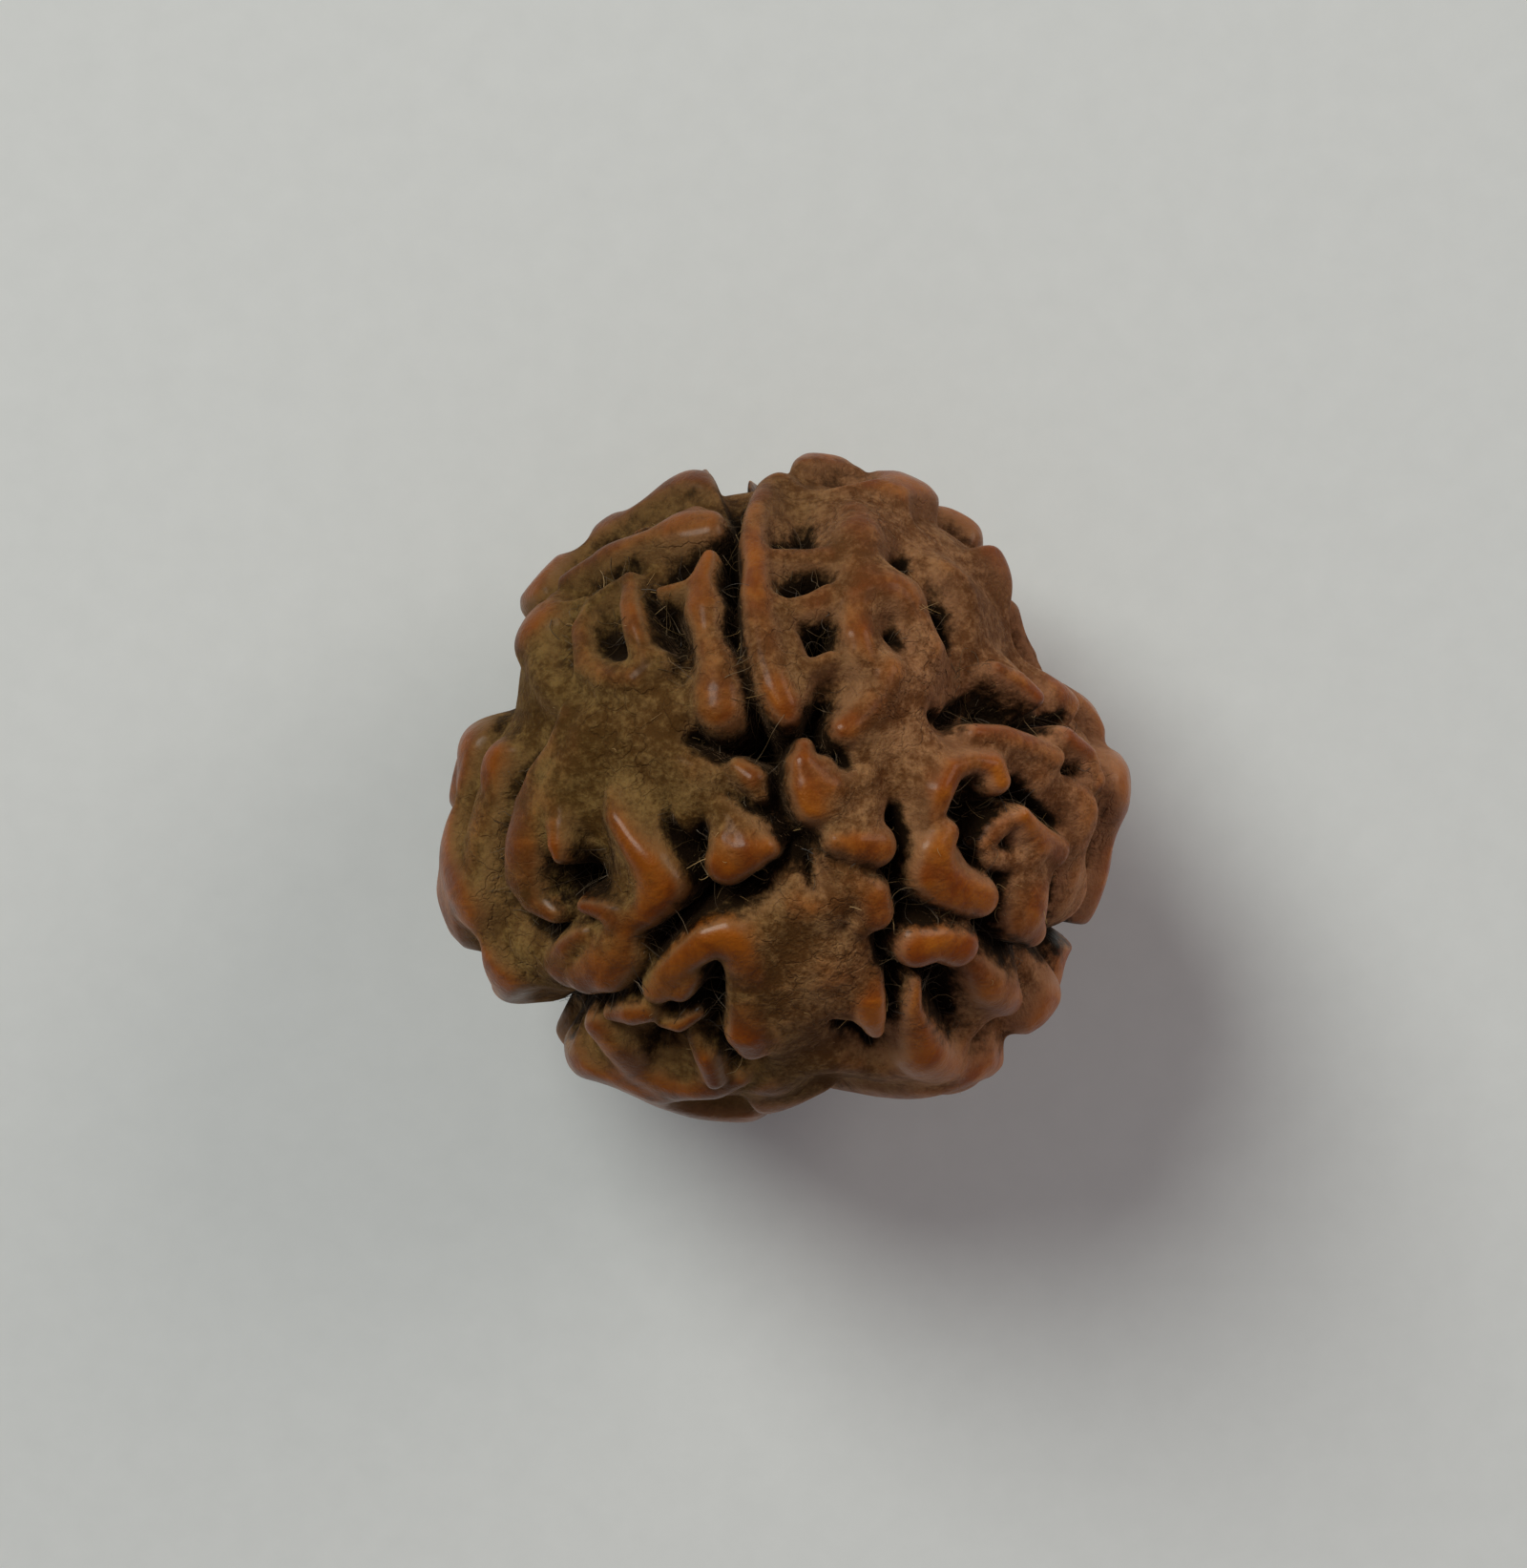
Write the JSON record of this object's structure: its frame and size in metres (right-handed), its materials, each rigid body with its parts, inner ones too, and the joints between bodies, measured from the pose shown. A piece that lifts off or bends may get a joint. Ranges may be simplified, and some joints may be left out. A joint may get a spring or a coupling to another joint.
{
  "type": "rudraksha seed",
  "caption": "Round woody fruit stone with deep clefts and a raised net of ridges, knobs and pits, standing on its flat stalk scar.",
  "frame": {"origin": "under the middle of the seed's box, in the plane of the flat stalk scar that it stands on", "axes": "+Z from the stalk scar to the crown, +X to the right and +Y away from the viewer as the crown is seen from above"},
  "size_m": [0.0242, 0.0234, 0.021],
  "materials": {
    "seed_wood": "hard brown stone, waxy and orange-brown on the worn ridges, dull and dusty between them, near black in the pits"
  },
  "bodies": {
    "root": {"rudraksha_seed": "seed_wood"}
  },
  "joints": []
}
